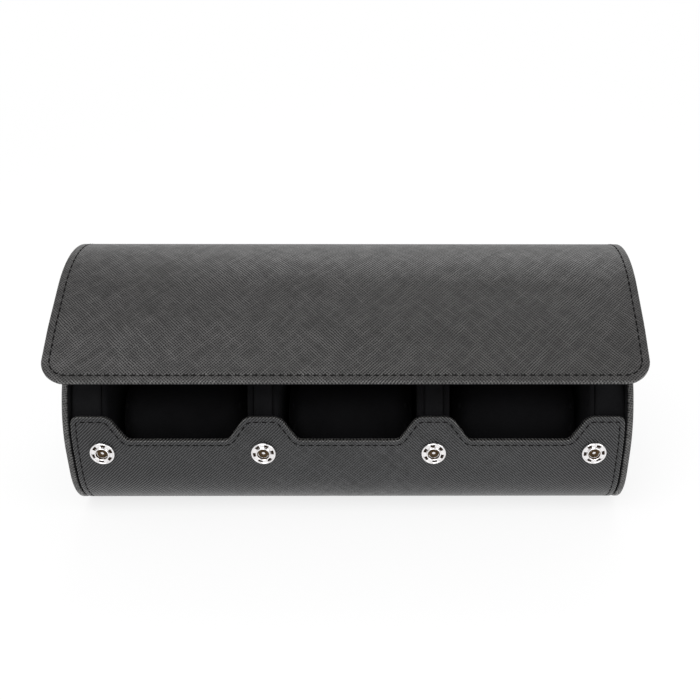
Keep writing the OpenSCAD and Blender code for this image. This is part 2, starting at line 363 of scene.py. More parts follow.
# fine diagonal ridges in two directions, each brighter and duller in long streaks along its run
def makeCrosshatch():
    look = grainLook
    group, given, end = nodeGroup("crosshatchGrain", {"Pitch": 0.84, "PaintedLightLean": 0.0}, ("Height", "Ridge"))
    skin = given["Vector"]
    x, y, z = newNode(group, "SeparateXYZ", {0: skin}).outputs
    bend = mathNode(group, "SUBTRACT", noiseNode(group, skin, look["bendScale"], detail=3), 0.5)
    rate = mathNode(group, "DIVIDE", 2 * math.pi * math.sqrt(0.5), given["Pitch"])
    # which of the two ridge directions shows stronger drifts in slow patches and across the case: painted
    # light, as lamps at either side catch one set of ridges more, in the ridges' colour and height
    patches = noiseNode(group, skin, look["patchScale"], detail=1)
    patches = scaled(group, patches, look["patches"], -look["patches"] / 2)
    paintedLightLean = scaled(group, y, given["PaintedLightLean"], patches)
    rising, falling = (mathNode(group, way, x, y) for way in ("ADD", "SUBTRACT"))
    ridges = []
    for along, across, turn in ((rising, falling, 1), (falling, rising, -1)):
        run = scaled(group, bend, look["bend"], along)
        wave = scaled(group, mathNode(group, "SINE", times(group, run, rate)), 0.5, 0.5)
        drawn = newNode(group, "CombineXYZ", {
            0: times(group, along, look["streakAlong"]), 1: times(group, across, look["streakAcross"]),
            2: look["apart"] * turn})
        streak = scaled(group, noiseNode(group, drawn.outputs[0], 1), look["streaks"], look["streakLevel"])
        ridges.append(times(group, wave, scaled(group, paintedLightLean, 0.5 * turn, streak, clamp=True)))
    ridge = mathNode(group, "MAXIMUM", *ridges)
    pores = noiseNode(group, skin, look["poreScale"])
    feed(group, end, {"Height": scaled(group, pores, look["pores"], ridge), "Ridge": ridge})
    return group


# slow clouds and small specks, for uneven colour and handling marks
def makeSoftWear():
    group, given, end = nodeGroup("softWear", {"Scale": 18.0}, ("Clouds", "Specks"))
    clouds = noiseNode(group, given["Vector"], given["Scale"], detail=4, roughness=0.6)
    specks = mathNode(group, "GREATER_THAN", noiseNode(group, given["Vector"], 420), 0.68)
    feed(group, end, {"Clouds": clouds, "Specks": specks})
    return group


# short brushed pile, with faint patches where it lies another way
def makePile():
    group, given, end = nodeGroup("brushedPile", {}, ("Height", "Patches"))
    fibre = noiseNode(group, given["Vector"], 2600, detail=3, roughness=0.7)
    patches = noiseNode(group, given["Vector"], 55, detail=3, roughness=0.55)
    patches = mathNode(group, "SUBTRACT", patches, 0.5)
    feed(group, end, {"Height": fibre, "Patches": scaled(group, patches, 2.4, 0.5, clamp=True)})
    return group


crosshatch = makeCrosshatch()
softWear = makeSoftWear()
pile = makePile()


def newMaterial(name):
    material = bpy.data.materials.new(name)
    material.use_nodes = True
    tree = material.node_tree
    place = tree.nodes.new("ShaderNodeTexCoord").outputs["Object"]
    return material, tree, tree.nodes["Principled BSDF"], place


def surfaceMark(tree, name):
    return newNode(tree, "Attribute", {}, attribute_name=name).outputs["Fac"]


def leather(name, look):
    material, tree, shader, place = newMaterial(name)
    skin = newNode(tree, "UVMap", {}, uv_map="skin").outputs["UV"]
    grain = newNode(tree, "Group", {"Vector": skin, "Pitch": look["pitch"], "PaintedLightLean": look["paintedLightLean"]},
                    node_tree=crosshatch).outputs
    wear = newNode(tree, "Group", {"Vector": place, "Scale": look["cloudScale"]},
                   node_tree=softWear).outputs
    # the turned edges get a much lighter ridge colour: a painted highlight along the folds
    ridge = mixColour(tree, surfaceMark(tree, "fold"), look["ridge"], look["foldHighlight"])
    contrast = mathNode(tree, "POWER", grain["Ridge"], look["contrast"])
    clouds = scaled(tree, mathNode(tree, "SUBTRACT", wear["Clouds"], 0.5), 1.6, 0.5, clamp=True)
    # the seam channel is darkened towards near-black: painted shade in the groove
    channel = times(tree, surfaceMark(tree, "seam"), look["channelShade"])
    # the grain's valleys are near black: painted shade in the recesses between the ridges
    shade = mixColour(tree, contrast, look["valleyShade"], ridge)
    shade = mixColour(tree, times(tree, clouds, look["cloudShare"]), shade, look["cloudTint"])
    shade = mixColour(tree, times(tree, wear["Specks"], look["speckShare"]), shade, look["speck"])
    rough = scaled(tree, grain["Ridge"], look["ridgeGloss"], look["roughness"])
    gloss = times(tree, contrast, look["coat"], clamp=True)
    feed(tree, shader, {
        "Base Color": mixColour(tree, channel, shade, look["channelShadeColour"]),
        "Roughness": scaled(tree, clouds, look["cloudRough"], rough),
        "Specular IOR Level": look["specular"],
        "Coat Weight": times(tree, gloss, mathNode(tree, "SUBTRACT", 1, channel)),
        "Coat Roughness": look["coatRough"],
        "Normal": bump(tree, grain["Height"], 1.0, look["relief"])})
    return material


leatherLook = {
    "pitch": 0.84, "paintedLightLean": 0.0, "contrast": 2.6, "relief": 0.0003,
    "valleyShade": (0.001, 0.001, 0.001), "ridge": (0.044, 0.041, 0.0395), "foldHighlight": (0.155, 0.151, 0.147),
    "cloudScale": 22.0, "cloudShare": 0.06, "cloudTint": (0.03, 0.029, 0.029), "cloudRough": 0.06,
    "speckShare": 0.1, "speck": (0.08, 0.08, 0.08),
    "channelShade": 0.35, "channelShadeColour": (0.001, 0.001, 0.001),
    "roughness": 0.5, "ridgeGloss": -0.1, "specular": 0.22, "coat": 1.15, "coatRough": 0.38,
}
# the wall's and end discs' leather is the flap's with a darker, cooler ridge colour: painted shade for the
# upright faces, which get less of the light from above
wallLook = dict(leatherLook, pitch=0.88, paintedLightLean=0.009, contrast=2.8, valleyShade=(0.0, 0.0, 0.0),
                ridge=(0.034, 0.035, 0.039), specular=0.45, coat=1.5)
flapLeather = leather("flapLeather", leatherLook)
caseLeather = leather("caseLeather", wallLook)
endLeather = leather("endLeather", dict(wallLook, paintedLightLean=0.0))


def velvet(name, dark, light, tip):
    material, tree, shader, place = newMaterial(name)
    nap = newNode(tree, "Group", {"Vector": place}, node_tree=pile).outputs
    shade = mixColour(tree, nap["Patches"], dark, light)
    feed(tree, shader, {
        "Base Color": mixColour(tree, times(tree, nap["Height"], 0.5), shade, tip),
        "Roughness": scaled(tree, nap["Patches"], -0.08, 0.95), "Specular IOR Level": 0.12,
        "Sheen Weight": 0.015, "Sheen Roughness": 0.45, "Sheen Tint": (0.8, 0.8, 0.86),
        "Normal": bump(tree, nap["Height"], 0.5, 0.00025)})
    return material


def threadFinish(name, dark, light):
    material, tree, shader, place = newMaterial(name)
    twist = newNode(tree, "TexWave", {"Vector": place, "Scale": 1400, "Distortion": 1.5},
                    wave_type="BANDS", bands_direction="DIAGONAL").outputs["Fac"]
    feed(tree, shader, {"Base Color": mixColour(tree, twist, dark, light), "Roughness": 0.8,
                        "Specular IOR Level": 0.1, "Normal": bump(tree, twist, 0.4, 0.00005)})
    return material


def metal(name, light, dark, scale, roughness, smudge):
    material, tree, shader, place = newMaterial(name)
    clouds = newNode(tree, "Group", {"Vector": place, "Scale": scale}, node_tree=softWear).outputs["Clouds"]
    feed(tree, shader, {"Base Color": mixColour(tree, clouds, light, dark), "Metallic": 1,
                        "Roughness": scaled(tree, clouds, smudge, roughness),
                        "Normal": bump(tree, noiseNode(tree, place, 900), 0.08, 0.00005)})
    return material


def boardFinish(name, dark, light):
    material, tree, shader, place = newMaterial(name)
    fibres = noiseNode(tree, place, 700, detail=5, roughness=0.7)
    feed(tree, shader, {"Base Color": mixColour(tree, fibres, dark, light), "Roughness": 0.9,
                        "Normal": bump(tree, fibres, 0.3, 0.0001)})
    return material


def dullFinish(name, dark, light):
    material, tree, shader, place = newMaterial(name)
    shade = mixColour(tree, noiseNode(tree, place, 1500), dark, light)
    feed(tree, shader, {"Base Color": shade, "Roughness": 0.5, "Specular IOR Level": 0.05})
    return material


# each cloth's shade where the pile lies away, where it lies over, and at its tips
clothLook = {
    # the liners' and cushions' velvet is the pads' velvet set darker: painted shade for the deep wells
    "linerVelvet": ((0.0016, 0.0016, 0.002), (0.0035, 0.0035, 0.0042), (0.007, 0.007, 0.008)),
    "padVelvet": ((0.0016, 0.0016, 0.002), (0.007, 0.007, 0.0078), (0.012, 0.012, 0.0135)),
    "cushionVelvet": ((0.0012, 0.0012, 0.0015), (0.0035, 0.0035, 0.0042), (0.007, 0.007, 0.008)),
    "liningCloth": ((0.0016, 0.0016, 0.002), (0.007, 0.007, 0.008), (0.015, 0.015, 0.017)),
    "flapCloth": ((0.005, 0.005, 0.0055), (0.014, 0.014, 0.015), (0.035, 0.035, 0.038)),
}
linerVelvet, padVelvet, cushionVelvet, liningCloth, flapCloth = (
    velvet(name, *look) for name, look in clothLook.items())
# each metal's clean and worn colour, its clouds' scale, its roughness and how far smudges change it; the
# cavity brass is the brass darkened as painted shade
metalLook = {
    "polishedChrome": ((0.95, 0.94, 0.94), (0.82, 0.8, 0.8), 160, 0.14, 0.12),
    "warmBrass": ((0.5, 0.36, 0.2), (0.12, 0.08, 0.045), 300, 0.2, 0.2),
    "shadedCavityBrass": ((0.13, 0.085, 0.045), (0.008, 0.005, 0.003), 500, 0.24, 0.2),
}
chromeFinish, brassFinish, shadedCavityBrass = (metal(name, *look) for name, look in metalLook.items())
seamThread = threadFinish("seamThread", (0.001, 0.001, 0.001), (0.006, 0.006, 0.006))
windowShade = dullFinish("windowShade", (0.022, 0.014, 0.009), (0.033, 0.021, 0.0135))
greyBoard = boardFinish("greyBoard", (0.2, 0.17, 0.14), (0.34, 0.3, 0.25))
padFoam = boardFinish("padFoam", (0.02, 0.02, 0.022), (0.045, 0.045, 0.05))
print("finishes made")


# the shell's profile and the flap's profile, as (y, z) points, first in millimetres

profileLook = {
    "turnStep": 0.5, "lineStep": 0.4, "closest": 0.02, "knee": 3.0, "kneeSteps": 12,
    "strapTop": ((0.02, 0.4), (0, -0.6)), "strapStraight": (28.4, 28.2), "strapEnd": (39.35, 22.0),
}


def arcPoints(centre, radius, fromTurn, toTurn):
    count = max(2, round(abs(toTurn - fromTurn) / profileLook["turnStep"]))
    turns = [math.radians(fromTurn + (toTurn - fromTurn) * i / count) for i in range(count + 1)]
    return [(centre[0] + radius * math.cos(t), centre[1] + radius * math.sin(t)) for t in turns]


def spaced(a, b):
    count = max(1, round(math.dist(a, b) / profileLook["lineStep"]))
    return [(a[0] + (b[0] - a[0]) * i / count, a[1] + (b[1] - a[1]) * i / count) for i in range(count)]


def tidyPath(points):
    kept = [points[0]]
    for point in points[1:]:
        if math.dist(point, kept[-1]) > profileLook["closest"]:
            kept.append(point)
    return [(y * mm, z * mm) for y, z in kept]


def domeTurn(height):
    return math.asin((height - domeHeight) / domeRadius)


# from the back wall's top edge down, under the case and up the front wall
def shellProfile():
    corner = caseForm["cornerRadius"]
    side = domeRadius - corner
    points = spaced((domeRadius, domeHeight), (domeRadius, corner))
    points += arcPoints((side, corner), corner, 0, -90)
    points += spaced((side, 0), (-side, 0))
    points += arcPoints((-side, corner), corner, -90, -180)
    points += spaced((-domeRadius, corner), (-domeRadius, domeHeight))
    topTurn = 180 - math.degrees(domeTurn(caseForm["frontTop"]))
    points += arcPoints((0, domeHeight), domeRadius, 180, topTurn)
    return tidyPath(points)


def turnedAbout(point, degrees):
    place = Matrix.Translation((0, point[0], point[1]))
    return place @ Matrix.Rotation(math.radians(degrees), 4, "X") @ place.inverted()


# a point that lies at an angle on a circle about the dome's axis, and then along its tangent
def roundAbout(angle, radius, along):
    t = math.radians(angle)
    return (-radius * math.cos(t) - along * math.sin(t),
            domeHeight + radius * math.sin(t) - along * math.cos(t))


def at(matrix, y, z):
    point = matrix @ Vector((0, y, z))
    return (point.y, point.z)


straightAngle = caseForm["straightAngle"]
flapRadius = caseForm["flapRadius"]
snapTurn = math.degrees(domeTurn(caseForm["snapHeight"]))
kneeTurn = math.radians(straightAngle - snapTurn)
frontRadius = domeRadius + caseForm["snapGap"]
straightRun = (frontRadius - flapRadius * math.cos(kneeTurn)) / math.sin(kneeTurn)
kneeToSnap = (flapRadius - frontRadius * math.cos(kneeTurn)) / math.sin(kneeTurn)
kneeClosed = roundAbout(straightAngle, flapRadius, straightRun)
foldPoint = (flapRadius + caseForm["flapThick"], domeHeight)
opened = turnedAbout(foldPoint, -caseForm["openAngle"])
stripFrame = (opened @ turnedAbout(kneeClosed, -caseForm["relaxAngle"])
              @ Matrix.Translation((0, kneeClosed[0], kneeClosed[1]))
              @ Matrix.Rotation(math.radians(90 - snapTurn), 4, "X"))
kneeRest = at(opened, *kneeClosed)
tipRest = at(stripFrame, -kneeToSnap - caseForm["snapMargin"], 0)


# along the flap's inner face, from its front edge over the dome and down the back
def flapProfile():
    look = profileLook
    knee, count = look["knee"], look["kneeSteps"]
    before = at(stripFrame, -knee, 0)
    after = at(opened, *roundAbout(straightAngle, flapRadius, straightRun - knee))
    tangent = at(opened, *roundAbout(straightAngle, flapRadius, 0))
    points = spaced(tipRest, before)
    for i in range(count):
        t = i / count
        points.append(tuple((1 - t) ** 2 * a + 2 * t * (1 - t) * k + t * t * b
                            for a, k, b in zip(before, kneeRest, after)))
    points += spaced(after, tangent)
    dome = arcPoints((0, domeHeight), flapRadius, 180 - straightAngle, 0)
    points += [at(opened, *point) for point in dome]
    front = len(tidyPath(points))
    points += [(flapRadius + out, domeHeight + up) for out, up in look["strapTop"]]
    straightEnd, leanStart = look["strapStraight"]
    points += [(flapRadius, straightEnd)]
    points += spaced((flapRadius, leanStart), look["strapEnd"]) + [look["strapEnd"]]
    points = tidyPath(points)
    return points, pathLength(points[:front])


shellPath = shellProfile()
flapPath, foldAlong = flapProfile()
shellLength = pathLength(shellPath)
flapLength = pathLength(flapPath)
print("profiles: shell %.1f mm, flap %.1f mm" % (shellLength / mm, flapLength / mm))

# one stitch, repeated along each seam; a ring is its place along the stitch, its height and its size
stitchLook = {
    "pitch": 3.0, "length": 2.1, "thick": 0.6, "sides": 6,
    "rings": ((-1, -0.22, 0.7), (-0.8, 0, 1.0), (-0.35, 0.05, 1.1), (0.35, 0.05, 1.1), (0.8, 0, 1.0),
              (1, -0.22, 0.7)),
}


def makeStitch(name):
    half = stitchLook["length"] * mm / 2
    rings = [(x * half, z * mm, size) for x, z, size in stitchLook["rings"]]
    x, z, size = rings[0]
    deselectAll()
    bpy.ops.mesh.primitive_circle_add(
        vertices=stitchLook["sides"], radius=stitchLook["thick"] * mm / 2 * size, fill_type="NGON",
        location=(x, 0, z), rotation=(0, math.pi / 2, 0))
    thread = fresh(name)
    editAll(thread)
    for nextX, nextZ, nextSize in rings[1:]:
        grow = nextSize / size
        bpy.ops.mesh.extrude_region_move(TRANSFORM_OT_translate={"value": (nextX - x, 0, nextZ - z)})
        bpy.ops.transform.resize(value=(1, grow, grow), center_override=(nextX, 0, nextZ))
        x, z, size = nextX, nextZ, nextSize
    bpy.ops.mesh.select_all(action="SELECT")
    bpy.ops.mesh.normals_make_consistent(inside=False)
    leaveEdit()
    bpy.ops.object.shade_smooth()
    return thread


# a row of stitches in the channel, wrapped with the pattern it is sewn through
def seam(name, line, height, curve):
    ring = list(zip(line, line[1:] + line[:1]))
    longest = max(range(len(ring)), key=lambda i: math.dist(*ring[i]))
    start = tuple((a + b) / 2 for a, b in zip(*ring[longest]))  # it starts mid-way on a straight stretch
    line = [start] + line[longest + 1:] + line[:longest + 1]
    length = pathLength(line + [start])
    count = round(length / (stitchLook["pitch"] * mm))
    row = makeStitch(name)
    applied(row, "ARRAY", fit_type="FIXED_COUNT", count=count, use_relative_offset=False,
            use_constant_offset=True, constant_offset_displace=(length / count, 0, 0))
    path = lineCurve(name + "Line", line, closed=True)
    applied(row, "CURVE", object=path, deform_axis="POS_X")
    dropped(path)
    row.data.transform(Matrix.Translation((0, 0, height)))
    wrapped(row, curve)
    return row


# the lower shell: crosshatched leather over board, with a notch before each well
shellLook = {
    "leather": 2.3, "edge": 0.5, "tabRound": 2.4, "endRound": 2.6, "notchRound": 1.4, "slice": 1.6,
    "margin": 2.0, "channel": 0.45, "press": 0.22, "stitchDepth": 0.34,
    "cutterHigh": 20, "cutterPast": 2, "liningTop": 2.34, "liningWidth": 204.6, "liningDrop": 0.35,
    "liningEdge": 0.18, "liningSlice": 2.4,
}
shellCurve = lineCurve("shellCurve", shellPath)


def notchCutters(drop):
    turn = domeTurn(caseForm["frontTop"]) - domeTurn(caseForm["frontTop"] - caseForm["notchDepth"])
    depth = turn * domeRadius * mm + drop
    slope = caseForm["notchRun"] * mm / depth
    past = shellLook["cutterPast"] * mm
    high = shellLook["cutterHigh"] * mm
    half = caseForm["notchTop"] * mm / 2
    cutters = []
    for place, word in wells:
        centre = place * caseForm["wellPitch"] * mm
        cutter = block("notchCutter", (depth + past, 1, high),
                       (shellLength - depth + (depth + past) / 2, centre, 0))
        for vertex in cutter.data.vertices:
            side = 1 if vertex.co.y > centre else -1
            wide = half + past * slope if vertex.co.x > shellLength else half - depth * slope
            vertex.co.y = centre + side * wide
        roundEdges(cutter, lambda e: middle(e).x < shellLength - depth / 2 and runs(e, 2, high),
                   shellLook["notchRound"] * mm, segments=6)
        cutters.append(cutter)
    return joined(cutters, "notchCutters")


# a flat pattern of the whole wrap, with its notches cut and its edges turned
def wallPattern(name, low, high, width, drop, edge):
    thick = (high - low) * mm
    outer = (width / 2 - 0.1) * mm
    piece = block(name, (shellLength, width * mm, thick), (shellLength / 2, 0, (low + high) / 2 * mm))
    cutter = notchCutters(drop * mm)
    applied(piece, "BOOLEAN", object=cutter, operation="DIFFERENCE", solver="EXACT")
    bpy.data.objects.remove(cutter)

    def topCorner(part, atEnd):
        upright = runs(part, 2, thick) and liesAt(part, 0, shellLength)
        return upright and (abs(middle(part).y) >= outer) == atEnd

    roundEdges(piece, lambda e: topCorner(e, False), shellLook["tabRound"] * mm, segments=7)
    roundEdges(piece, lambda e: topCorner(e, True), shellLook["endRound"] * mm, segments=8)
    roundRims(piece, 2, (low * mm, high * mm), edge * mm, segments=3)
    return piece


shellSkin = wallPattern("shellSkin", -shellLook["leather"], 0, caseForm["wrapWidth"], 0, shellLook["edge"])
shellSeamLine = grooved(shellSkin, shellLook, 0)
sliced(shellSkin, steps(0, shellLength, shellLook["slice"] * mm))
mapSkin(shellSkin, 0)
wrapped(shellSkin, shellCurve)
smooth(shellSkin)
dressed(shellSkin, caseLeather, ["outer_wrap", "shell_board"], "case")
shellSeam = seam("shellSeam", shellSeamLine, -shellLook["stitchDepth"] * mm, shellCurve)
dressed(shellSeam, seamThread, body="case")

shellLining = wallPattern("shellLining", -caseForm["wallThick"], -shellLook["liningTop"],
                          shellLook["liningWidth"], shellLook["liningDrop"], shellLook["liningEdge"])
sliced(shellLining, steps(0, shellLength, shellLook["liningSlice"] * mm))
wrapped(shellLining, shellCurve)
smooth(shellLining, 40)
dressed(shellLining, liningCloth, ["shell_lining"], "case")
dropped(shellCurve)
print("shell made")

# D-shaped plates: end covers, padding and the wells' cheeks
plateLook = {"domeParts": 36, "cornerParts": 18, "clear": 0.05}
endLook = {"edge": 0.6, "tuck": 0.36, "crown": 0.25, "crownRings": 4, "crownStep": 3.2,
           "foldDrop": 0.1, "turnDrop": 0.3}
padForm = {"endEdge": 1.1, "endGap": 0.06, "dividerEdge": 1.2, "cheekEdge": 0.95, "floorEdge": 0.1,
           "floorOver": 0.5, "cheekGap": 0.02}
padInset = caseForm["wallThick"] + plateLook["clear"]


def domePlate(name, x0, x1, inset, edge, segments=4):
    x0, x1 = sorted((x0, x1))
    wide = 2 * (domeRadius - inset)
    tall = domeRadius + domeHeight - 2 * inset
    plate = block(name, ((x1 - x0) * mm, wide * mm, tall * mm),
                  ((x0 + x1) / 2 * mm, 0, (inset + tall / 2) * mm))
    long = (x1 - x0) * mm
    half = tall / 2 * mm
    roundEdges(plate, lambda e: runs(e, 0, long) and middle(e).z > half,
               (domeRadius - inset) * mm, plateLook["domeParts"])
    roundEdges(plate, lambda e: runs(e, 0, long) and middle(e).z < half / 2,
               (caseForm["cornerRadius"] - inset) * mm, plateLook["cornerParts"])
    if inset:
        cutAway(plate, caseForm["padBottom"] * mm, -1)
    roundRims(plate, 0, (x0 * mm, x1 * mm), edge * mm, segments)
    return plate


# a flat map on the disc, carried on over its rim
def mapEnd(piece):
    mesh = piece.data
    for layer in list(mesh.uv_layers):
        mesh.uv_layers.remove(layer)
    layer = mesh.uv_layers.new(name="skin")
    mesh.attributes.new("fold", "FLOAT", "POINT")
    spots = []
    for vertex, fold in zip(mesh.vertices, mesh.attributes["fold"].data):
        drop = caseForm["bodyWidth"] / 2 - abs(vertex.co.x) / mm
        # the disc's rim counts as a turned edge, which the leather finish paints with a highlight
        fold.value = 1 if drop > endLook["foldDrop"] else 0
        out = Vector((vertex.normal.y, vertex.normal.z))
        spot = Vector((vertex.co.y, vertex.co.z)) / mm - Vector((0, domeHeight))
        if drop > endLook["turnDrop"] and out.length > skinLook["flatSlope"]:
            spot += out.normalized() * drop
        spots.append(spot)
    layer.data.foreach_set("uv", [c for loop in mesh.loops for c in spots[loop.vertex_index]])


def dressedPad(pad, word, node):
    smooth(pad, 40)
    dressed(pad, padVelvet, [node + word], "case")


for side, word in ends:
    outer = side * caseForm["bodyWidth"] / 2
    inner = outer - side * caseForm["endThick"]
    disc = domePlate("endDisc_" + word, outer, inner + side * endLook["tuck"], 0, endLook["edge"])
    pick(disc, "FACE", lambda f: f.normal.x * side > squareOn)
    for ring in range(endLook["crownRings"]):  # a faint crown, as over a padded board
        bpy.ops.mesh.inset(thickness=endLook["crownStep"] * mm, depth=0)
        bpy.ops.transform.translate(value=(side * endLook["crown"] * mm / (ring + 3), 0, 0))
    leaveEdit()
    mapEnd(disc)
    smooth(disc)
    dressed(disc, endLeather, ["end_cover_" + word], "case")

    gap = side * padForm["endGap"]
    pad = domePlate("endPad_" + word, inner - gap, inner - side * caseForm["endPadThick"] + gap,
                    padInset, padForm["endEdge"])
    dressedPad(pad, word, "end_pad_")

    x = side * caseForm["wellPitch"] / 2
    half = caseForm["dividerThick"] / 2 - plateLook["clear"]
    pad = domePlate("divider_" + word, x - half, x + half, padInset, padForm["dividerEdge"])
    dressedPad(pad, word, "divider_pad_")

for place, word in wells:
    centre = place * caseForm["wellPitch"]
    wall = caseForm["wellWidth"] / 2
    parts = []
    for side, hand in ends:
        far = side * (wall + caseForm["cheekThick"] - padForm["cheekGap"])
        parts.append(domePlate("cheek", centre + side * wall, centre + far, padInset, padForm["cheekEdge"]))
    wide = wall + padForm["floorOver"]
    floor = domePlate("floor", centre - wide, centre + wide, padInset, padForm["floorEdge"], segments=3)
    cutAway(floor, caseForm["floorTop"] * mm, 1)
    liner = joined(parts + [floor], "wellLiner_" + word)
    smooth(liner, 40)
    dressed(liner, linerVelvet, ["well_liner_" + word], "case")
print("ends, padding and wells made")

# the flap: leather turned over a board, lined inside, in one run from its front edge to the back
flapLook = {
    "low": 0.78, "edge": 0.45, "corner": 9, "strapCorner": 4.0, "slice": 1.5,
    "margin": 2.8, "channel": 0.5, "press": 0.24,
    "liningTop": 0.7, "liningInset": 0.35, "liningEdge": 0.12, "liningPast": 1.0,
    "strapUnder": 1.2, "wallGap": 0.03, "wallFrom": 0.3, "wallOver": 1.6,
    "partAngle": 16, "partSlices": (-0.9, -0.5, -0.2, 0.2, 0.5, 0.9), "partClear": 1.3,
    "kneeReach": 6, "foldReach": 2.4,
}
flapCurve = lineCurve("flapCurve", flapPath)
partAlong = foldAlong - flapRadius * mm * math.radians(flapLook["partAngle"])


def flapPattern(name, low, high, inset, length, edge):
    thick = (high - low) * mm
    width = (caseForm["flapWidth"] - 2 * inset) * mm
    piece = block(name, (length - inset * mm, width, thick),
                  ((length + inset * mm) / 2, 0, (low + high) / 2 * mm))
    roundEdges(piece, lambda e: runs(e, 2, thick) and middle(e).x < length / 2,
               (flapLook["corner"] - inset) * mm, segments=14)
    roundEdges(piece, lambda e: runs(e, 2, thick) and middle(e).x > length / 2,
               flapLook["strapCorner"] * mm, segments=8)
    roundRims(piece, 2, (low * mm, high * mm), edge * mm, segments=4)
    return piece


def flapSlices(piece, last):
    close = [partAlong + d * mm for d in flapLook["partSlices"]]
    places = steps(0, last, flapLook["slice"] * mm)
    sliced(piece, [p for p in places if abs(p - partAlong) > flapLook["partClear"] * mm] + close)


partPoint = Vector((0, *at(opened, *roundAbout(180 - flapLook["partAngle"], flapRadius, 0))))
towardsAxis = Vector((0, *at(opened, 0, domeHeight))) - partPoint
partWay = Vector((0, -towardsAxis.z, towardsAxis.y)).normalized()
if partWay.z > 0:
    partWay = -partWay


# parts the run above the fold into a front piece and a back piece
def splitFlap(piece, frontName, backName):
    only(piece)
    bpy.ops.object.mode_set(mode="EDIT")
    bpy.ops.mesh.select_mode(type="FACE")
    bpy.ops.mesh.select_all(action="SELECT")
    bpy.ops.mesh.bisect(plane_co=partPoint * mm, plane_no=partWay)
    bpy.ops.mesh.select_all(action="DESELECT")
    shape = bmesh.from_edit_mesh(piece.data)
    for face in shape.faces:
        spot = face.calc_center_median()
        face.select_set((spot - partPoint * mm).dot(partWay) > 0 and spot.y > 0)
    bmesh.update_edit_mesh(piece.data)
    bpy.ops.mesh.separate(type="SELECTED")
    leaveEdit()
    back = [o for o in bpy.context.selected_objects if o != piece][0]
    piece.name = piece.data.name = frontName
    back.name = back.data.name = backName
    return piece, back


def bendOverKnee(piece):
    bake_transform(piece)


def bendOverFold(piece):
    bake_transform(piece)


# below the fold the strap lies on the back wall
def pressStrap(piece, under):
    wall = (domeRadius + flapLook["wallGap"]) * mm
    pressFrom = (foldPoint[1] - flapLook["wallFrom"]) * mm
    for index in under:
        spot = piece.data.vertices[index].co
        share = min(1, max(0, (pressFrom - spot.z) / (flapLook["wallOver"] * mm)))
        spot.y += (wall - spot.y) * share


flapTop = caseForm["flapThick"]
flapSkin = flapPattern("flapSkin", flapLook["low"], flapTop, 0, flapLength, flapLook["edge"])
flapSeamLine = grooved(flapSkin, flapLook, flapTop * mm)
flapSlices(flapSkin, flapLength)
strapUnder = [v.index for v in flapSkin.data.vertices
              if v.co.x > foldAlong and v.co.z < flapLook["strapUnder"] * mm]
mapSkin(flapSkin, flapTop * mm)
wrapped(flapSkin, flapCurve)
pressStrap(flapSkin, strapUnder)
smooth(flapSkin)
flapSeam = seam("flapSeam", flapSeamLine, (flapTop - flapLook["press"]) * mm, flapCurve)
flapLining = flapPattern("flapLining", 0, flapLook["liningTop"], flapLook["liningInset"],
                         foldAlong + flapLook["liningPast"] * mm, flapLook["liningEdge"])
flapSlices(flapLining, foldAlong)
wrapped(flapLining, flapCurve)
smooth(flapLining, 40)
dropped(flapCurve)

flapParts = (
    (flapSkin, "flapSkin", flapLeather, "flap_leather",
     ("flap_front_leather", "flap_top_leather"), ("hinge_strap",)),
    (flapSeam, "flapSeam", seamThread, "lining", (), ()),
    (flapLining, "flapLining", flapCloth, "lining", ("flap_front_lining", "flap_top_lining"), ()),
)
for whole, name, finish, slot, frontNodes, backNodes in flapParts:
    front, back = splitFlap(whole, name + "Front", name + "Back")
    dressed(front, finish, frontNodes)
    dressed(back, finish, backNodes)
    bendOverKnee(front)
    bendOverFold(back)
print("flap made")

# press studs: a turned socket with windows on the wall, a turned stud on the lining
socketLook = {
    "around": 48,
    "rings": ((4.45, 0.0), (4.6, 0.18), (4.62, 0.62), (4.56, 0.86), (4.44, 1.03), (4.27, 1.1),
              (4.1, 1.06), (3.98, 0.96), (3.92, 0.72), (2.82, 0.72), (2.76, 0.82), (2.76, 1.18),
              (2.7, 1.36), (2.6, 1.46), (2.47, 1.5), (2.35, 1.45), (2.25, 1.3), (2.2, 1.05),
              (2.2, 0.5), (2.1, 0.38), (1.5, 0.36)),
    "channel": 0.72, "windows": 6, "windowFrom": 2.9, "windowTo": 3.85, "windowTurn": 16,
    "windowRim": 0.06, "windowEdge": 0.02, "windowDepth": 0.3,
}
studLook = {
    "around": 32,
    "rings": ((4.25, 0.0), (4.3, 0.12), (4.2, 0.3), (3.9, 0.42), (3.2, 0.46), (2.5, 0.46), (2.2, 0.5),
              (1.8, 0.62), (1.72, 0.85), (1.8, 1.02), (1.93, 1.16), (1.93, 1.28), (1.82, 1.4), (1.6, 1.45),
              (1.0, 1.43)),
}


def turnedPiece(name, look):
    deselectAll()
    r, z = look["rings"][0]
    bpy.ops.mesh.primitive_circle_add(
        vertices=look["around"], radius=r * mm, fill_type="NGON", location=(0, 0, z * mm))
    piece = fresh(name)
    editAll(piece)
    for nextR, nextZ in look["rings"][1:]:
        bpy.ops.mesh.extrude_region_move(TRANSFORM_OT_translate={"value": (0, 0, (nextZ - z) * mm)})
        bpy.ops.transform.resize(value=(nextR / r, nextR / r, 1), center_override=(0, 0, nextZ * mm))
        r, z = nextR, nextZ
    leaveEdit()
    return piece


